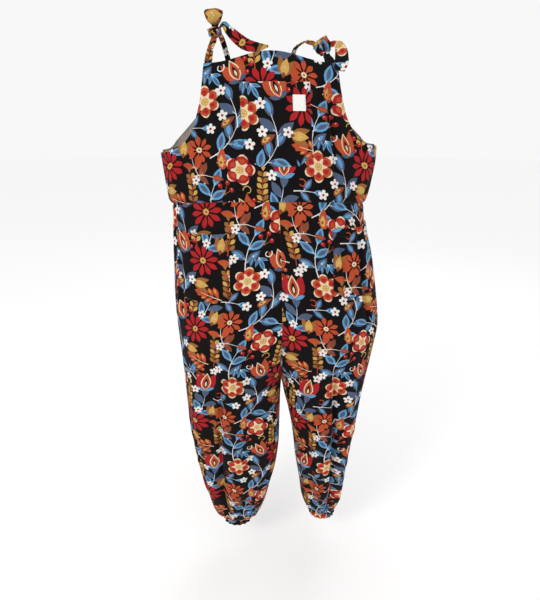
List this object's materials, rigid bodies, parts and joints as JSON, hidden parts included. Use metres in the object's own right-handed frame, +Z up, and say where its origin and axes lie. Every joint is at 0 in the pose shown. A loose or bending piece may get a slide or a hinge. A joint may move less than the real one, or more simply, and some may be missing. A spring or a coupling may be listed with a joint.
{
  "type": "dungarees",
  "caption": "Loose cotton dungarees, hollow as worn, with a bib pocket, hip pockets, gathered cuffs and straps knotted over each shoulder.",
  "frame": {"origin": "midway between the two shoulder knots, at the height where the shoulders carry the straps", "axes": "+Z up, from the cuffs to the straps; the bib faces -Y; +X is to the right of someone facing the bib"},
  "size_m": [0.5271, 0.2943, 1.4018],
  "materials": {
    "printed_cotton": "matte floral print on black",
    "label_cloth": "matte white"
  },
  "bodies": {
    "root": {"bodice_front": "printed_cotton", "bodice_back": "printed_cotton", "trouser_front_left": "printed_cotton", "trouser_front_right": "printed_cotton", "trouser_back_left": "printed_cotton", "trouser_back_right": "printed_cotton", "bib_pocket": "printed_cotton", "hip_pocket_left": "printed_cotton", "hip_pocket_right": "printed_cotton", "bib_label": "label_cloth", "strap_front_left": "printed_cotton", "strap_front_right": "printed_cotton", "strap_back_left": "printed_cotton", "strap_back_right": "printed_cotton", "bow_loop_left": "printed_cotton", "tie_end_left": "printed_cotton", "tie_end_right": "printed_cotton", "knot_left": "printed_cotton", "knot_right": "printed_cotton"}
  },
  "joints": []
}
